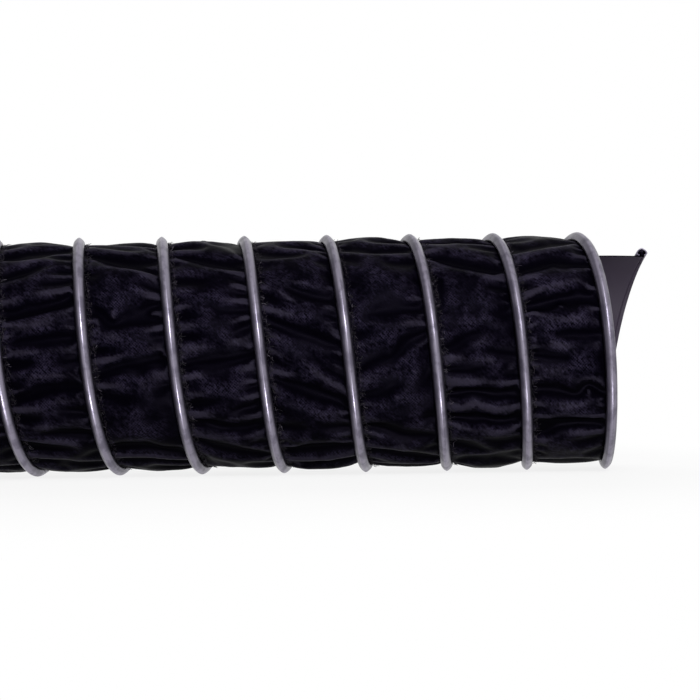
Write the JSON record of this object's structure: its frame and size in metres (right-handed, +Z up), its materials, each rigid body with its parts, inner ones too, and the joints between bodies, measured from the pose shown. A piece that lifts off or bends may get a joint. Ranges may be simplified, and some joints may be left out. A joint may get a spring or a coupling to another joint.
{
  "type": "flexible air duct",
  "caption": "Flexible air duct: coated fabric tube held by an outer helical steel clip; it slips over a round spigot at each end, and stretches, closes up and bends.",
  "frame": {"origin": "centre of the inlet bore, on the duct's axis, where the clip begins", "axes": "+X along the duct from the inlet to the outlet, +Z up, -Y to the front"},
  "size_m": [0.386, 0.1104, 0.1104],
  "materials": {
    "clip_steel": "galvanised roll-formed strip, smooth, softly reflecting",
    "duct_fabric": "black coated glass-fibre weave with a satin sheen, creased",
    "fabric_lining": "smooth dark grey-purple coating of the inside"
  },
  "bodies": {
    "inlet": {"clip_turn_01": "clip_steel", "fabric_turn_01": "duct_fabric", "clip_turn_02": "clip_steel", "trimmed_hem_inlet": "fabric_lining"},
    "fabric_02": {"fabric_turn_02": "duct_fabric"},
    "clip_03": {"clip_turn_03": "clip_steel"},
    "fabric_03": {"fabric_turn_03": "duct_fabric"},
    "clip_04": {"clip_turn_04": "clip_steel"},
    "fabric_04": {"fabric_turn_04": "duct_fabric"},
    "clip_05": {"clip_turn_05": "clip_steel"},
    "fabric_05": {"fabric_turn_05": "duct_fabric"},
    "clip_06": {"clip_turn_06": "clip_steel"},
    "fabric_06": {"fabric_turn_06": "duct_fabric"},
    "clip_07": {"clip_turn_07": "clip_steel"},
    "fabric_07": {"fabric_turn_07": "duct_fabric"},
    "clip_08": {"clip_turn_08": "clip_steel"},
    "fabric_08": {"fabric_turn_08": "duct_fabric"},
    "outlet": {"clip_turn_09": "clip_steel", "fabric_turn_09": "duct_fabric", "clip_turn_10": "clip_steel", "trimmed_hem_outlet": "fabric_lining"}
  },
  "joints": [
    {"name": "stretch_02", "type": "slide", "parent": "inlet", "child": "fabric_02", "axis": [1, 0, 0], "range_m": [-0.0126, 0.002], "stiffness_N_per_m": 400, "deforming": ["fabric_turn_02"]},
    {"name": "bend_02", "type": "hinge", "parent": "fabric_02", "child": "clip_03", "pos_m": [0.07885, 0, 0], "axis": [0, 0, 1], "range_deg": [-12.86, 12.86], "stiffness_Nm_per_rad": 0.5, "deforming": ["fabric_turn_02"]},
    {"name": "stretch_03", "type": "slide", "parent": "clip_03", "child": "fabric_03", "axis": [1, 0, 0], "range_m": [-0.0126, 0.002], "stiffness_N_per_m": 400, "deforming": ["fabric_turn_03"]},
    {"name": "bend_03", "type": "hinge", "parent": "fabric_03", "child": "clip_04", "pos_m": [0.11685, 0, 0], "axis": [0, 0, 1], "range_deg": [-12.86, 12.86], "stiffness_Nm_per_rad": 0.5, "deforming": ["fabric_turn_03"]},
    {"name": "stretch_04", "type": "slide", "parent": "clip_04", "child": "fabric_04", "axis": [1, 0, 0], "range_m": [-0.0126, 0.002], "stiffness_N_per_m": 400, "deforming": ["fabric_turn_04"]},
    {"name": "bend_04", "type": "hinge", "parent": "fabric_04", "child": "clip_05", "pos_m": [0.15485, 0, 0], "axis": [0, 0, 1], "range_deg": [-12.86, 12.86], "stiffness_Nm_per_rad": 0.5, "deforming": ["fabric_turn_04"]},
    {"name": "stretch_05", "type": "slide", "parent": "clip_05", "child": "fabric_05", "axis": [1, 0, 0], "range_m": [-0.0126, 0.002], "stiffness_N_per_m": 400, "deforming": ["fabric_turn_05"]},
    {"name": "bend_05", "type": "hinge", "parent": "fabric_05", "child": "clip_06", "pos_m": [0.19285, 0, 0], "axis": [0, 0, 1], "range_deg": [-12.86, 12.86], "stiffness_Nm_per_rad": 0.5, "deforming": ["fabric_turn_05"]},
    {"name": "stretch_06", "type": "slide", "parent": "clip_06", "child": "fabric_06", "axis": [1, 0, 0], "range_m": [-0.0126, 0.002], "stiffness_N_per_m": 400, "deforming": ["fabric_turn_06"]},
    {"name": "bend_06", "type": "hinge", "parent": "fabric_06", "child": "clip_07", "pos_m": [0.23085, 0, 0], "axis": [0, 0, 1], "range_deg": [-12.86, 12.86], "stiffness_Nm_per_rad": 0.5, "deforming": ["fabric_turn_06"]},
    {"name": "stretch_07", "type": "slide", "parent": "clip_07", "child": "fabric_07", "axis": [1, 0, 0], "range_m": [-0.0126, 0.002], "stiffness_N_per_m": 400, "deforming": ["fabric_turn_07"]},
    {"name": "bend_07", "type": "hinge", "parent": "fabric_07", "child": "clip_08", "pos_m": [0.26885, 0, 0], "axis": [0, 0, 1], "range_deg": [-12.86, 12.86], "stiffness_Nm_per_rad": 0.5, "deforming": ["fabric_turn_07"]},
    {"name": "stretch_08", "type": "slide", "parent": "clip_08", "child": "fabric_08", "axis": [1, 0, 0], "range_m": [-0.0126, 0.002], "stiffness_N_per_m": 400, "deforming": ["fabric_turn_08"]},
    {"name": "bend_08", "type": "hinge", "parent": "fabric_08", "child": "outlet", "pos_m": [0.30685, 0, 0], "axis": [0, 0, 1], "range_deg": [-12.86, 12.86], "stiffness_Nm_per_rad": 0.5, "deforming": ["fabric_turn_08"]}
  ],
  "couplings": [
    {"joint": "stretch_03", "follows": "stretch_02", "ratio": 1},
    {"joint": "bend_03", "follows": "bend_02", "ratio": 1},
    {"joint": "stretch_04", "follows": "stretch_02", "ratio": 1},
    {"joint": "bend_04", "follows": "bend_02", "ratio": 1},
    {"joint": "stretch_05", "follows": "stretch_02", "ratio": 1},
    {"joint": "bend_05", "follows": "bend_02", "ratio": 1},
    {"joint": "stretch_06", "follows": "stretch_02", "ratio": 1},
    {"joint": "bend_06", "follows": "bend_02", "ratio": 1},
    {"joint": "stretch_07", "follows": "stretch_02", "ratio": 1},
    {"joint": "bend_07", "follows": "bend_02", "ratio": 1},
    {"joint": "stretch_08", "follows": "stretch_02", "ratio": 1},
    {"joint": "bend_08", "follows": "bend_02", "ratio": 1}
  ]
}
